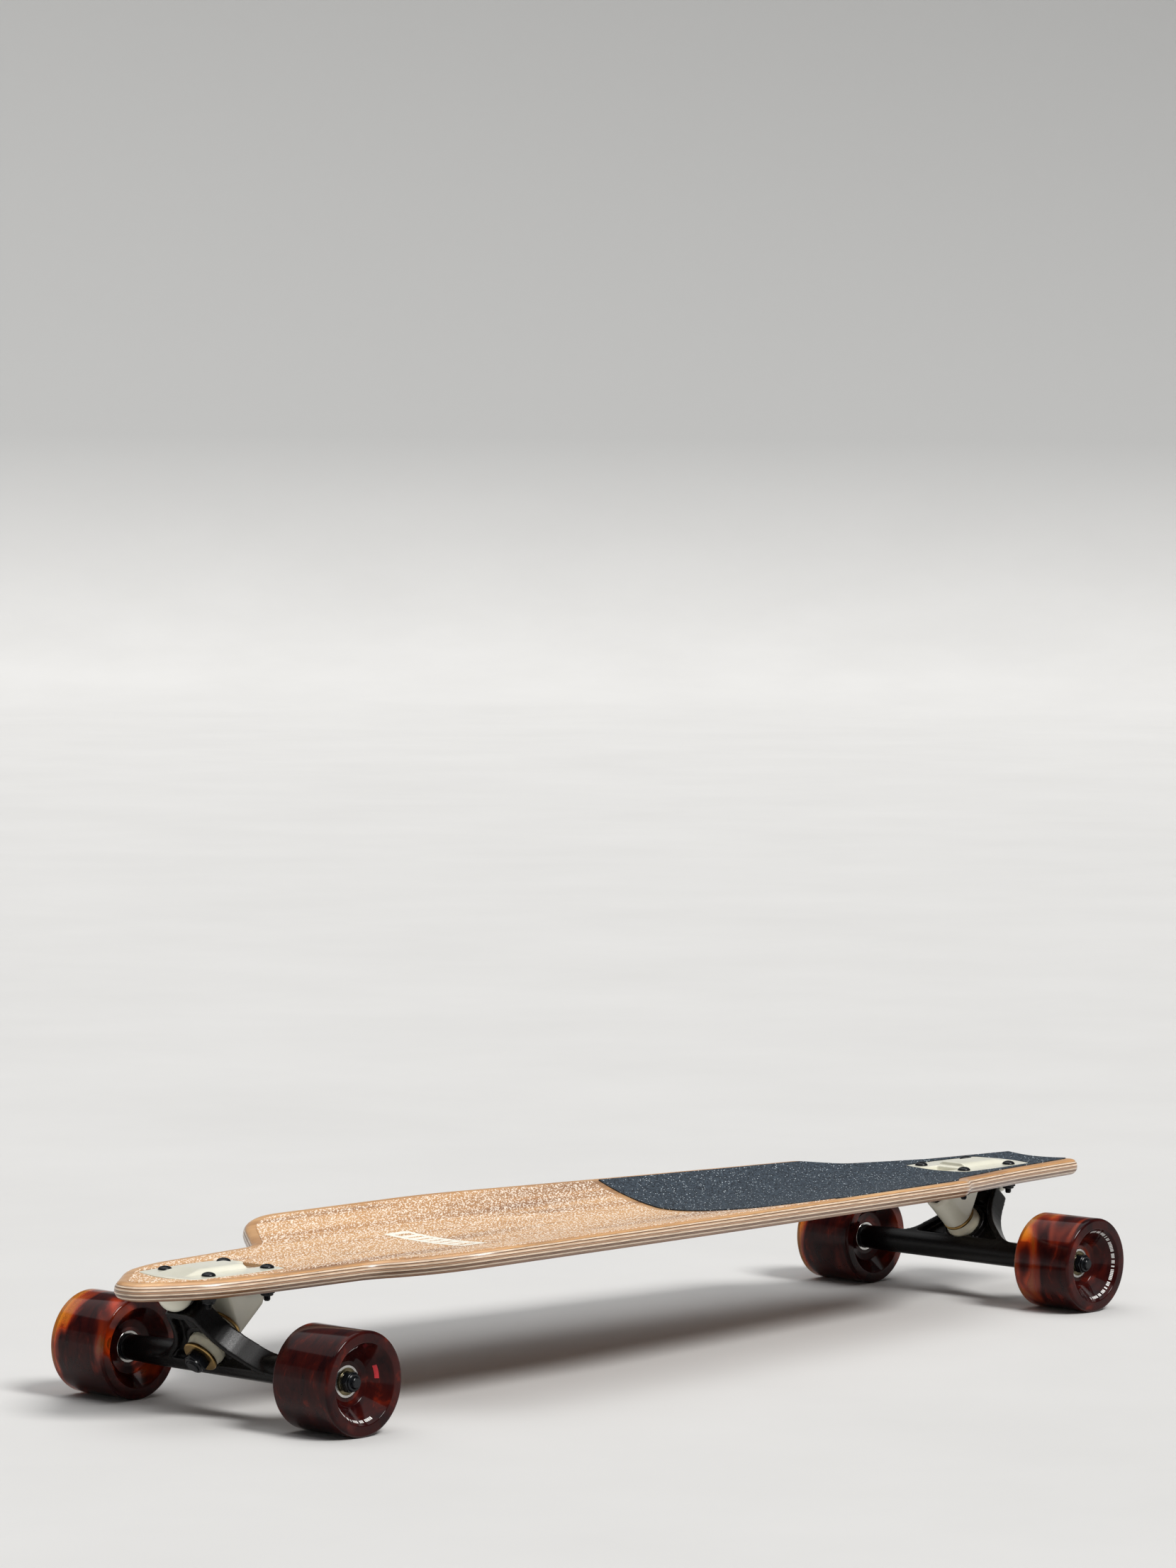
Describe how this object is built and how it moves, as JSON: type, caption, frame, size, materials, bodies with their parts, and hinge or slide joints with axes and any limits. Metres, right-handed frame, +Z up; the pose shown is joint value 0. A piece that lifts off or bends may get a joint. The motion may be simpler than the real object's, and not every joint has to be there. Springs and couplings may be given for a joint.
{
  "type": "longboard skateboard",
  "caption": "Drop-through longboard skateboard: concave deck with wheel cut-aways, sprung reverse-kingpin trucks that steer and free-rolling translucent wheels.",
  "frame": {"origin": "on the ground, under the middle of the board", "axes": "+X along the board towards the tail with the dark grip tape, +Y towards the rider's right when facing the nose, +Z up"},
  "size_m": [0.9708, 0.2632, 0.1091],
  "materials": {
    "core_plies": "lacquered maple plies, light and dark",
    "face_veneer": "satin lacquered bamboo",
    "clear_grit": "clear mineral grit over bamboo",
    "grip_tape": "coarse slate-grey mineral grit",
    "cream_paint": "gloss powder coat",
    "black_cast": "satin black",
    "black_steel": "black oxide, semi-gloss",
    "brass": "yellow zinc plate",
    "steel": "ground",
    "bearing_seal": "matte",
    "black_urethane": "matte",
    "bushing_urethane": "satin",
    "wheel_urethane": "gloss translucent tortoiseshell"
  },
  "bodies": {
    "deck": {"deck_core": "core_plies", "deck_top_veneer": "face_veneer", "deck_bottom_veneer": "face_veneer", "clear_grip": "clear_grit", "grip_tape": "grip_tape", "front_baseplate": "cream_paint", "front_pivot_cup": "black_urethane", "front_kingpin": "black_steel", "front_kingpin_nut": "black_steel", "front_boardside_cup_washer": "brass", "front_roadside_cup_washer": "brass", "front_boardside_bushing": "bushing_urethane", "front_roadside_bushing": "bushing_urethane", "front_mounting_bolts": "black_steel", "front_mounting_nuts": "black_steel", "rear_baseplate": "cream_paint", "rear_pivot_cup": "black_urethane", "rear_kingpin": "black_steel", "rear_kingpin_nut": "black_steel", "rear_boardside_cup_washer": "brass", "rear_roadside_cup_washer": "brass", "rear_boardside_bushing": "bushing_urethane", "rear_roadside_bushing": "bushing_urethane", "rear_mounting_bolts": "black_steel", "rear_mounting_nuts": "black_steel"},
    "front_hanger": {"front_hanger": "black_cast", "front_axle": "black_steel", "front_axle_nuts": "black_steel", "front_speed_washers": "steel", "front_bearing_inner_rings": "steel", "front_bearing_spacers": "steel"},
    "front_right_wheel": {"front_right_wheel": "wheel_urethane", "front_right_bearing_outer_rings": "steel", "front_right_bearing_shields": "bearing_seal", "front_right_bearing_balls": "steel"},
    "front_left_wheel": {"front_left_wheel": "wheel_urethane", "front_left_bearing_outer_rings": "steel", "front_left_bearing_shields": "bearing_seal", "front_left_bearing_balls": "steel"},
    "rear_hanger": {"rear_hanger": "black_cast", "rear_axle": "black_steel", "rear_axle_nuts": "black_steel", "rear_speed_washers": "steel", "rear_bearing_inner_rings": "steel", "rear_bearing_spacers": "steel"},
    "rear_right_wheel": {"rear_right_wheel": "wheel_urethane", "rear_right_bearing_outer_rings": "steel", "rear_right_bearing_shields": "bearing_seal", "rear_right_bearing_balls": "steel"},
    "rear_left_wheel": {"rear_left_wheel": "wheel_urethane", "rear_left_bearing_outer_rings": "steel", "rear_left_bearing_shields": "bearing_seal", "rear_left_bearing_balls": "steel"}
  },
  "joints": [
    {"name": "front_steer", "type": "hinge", "parent": "deck", "child": "front_hanger", "pos_m": [-0.4046, 0, 0.0502], "axis": [-0.6561, 0, 0.7547], "range_deg": [-20, 20], "stiffness_Nm_per_rad": 60, "deforming": ["front_boardside_bushing", "front_roadside_bushing"]},
    {"name": "front_right_spin", "type": "hinge", "parent": "front_hanger", "child": "front_right_wheel", "pos_m": [-0.3941, 0.1061, 0.035], "axis": [0, 1, 0], "continuous": true},
    {"name": "front_left_spin", "type": "hinge", "parent": "front_hanger", "child": "front_left_wheel", "pos_m": [-0.3941, -0.1061, 0.035], "axis": [0, 1, 0], "continuous": true},
    {"name": "rear_steer", "type": "hinge", "parent": "deck", "child": "rear_hanger", "pos_m": [0.391, 0, 0.0502], "axis": [0.6561, 0, 0.7547], "range_deg": [-20, 20], "stiffness_Nm_per_rad": 60, "deforming": ["rear_boardside_bushing", "rear_roadside_bushing"]},
    {"name": "rear_right_spin", "type": "hinge", "parent": "rear_hanger", "child": "rear_right_wheel", "pos_m": [0.3805, 0.1061, 0.035], "axis": [0, 1, 0], "continuous": true},
    {"name": "rear_left_spin", "type": "hinge", "parent": "rear_hanger", "child": "rear_left_wheel", "pos_m": [0.3805, -0.1061, 0.035], "axis": [0, 1, 0], "continuous": true}
  ]
}
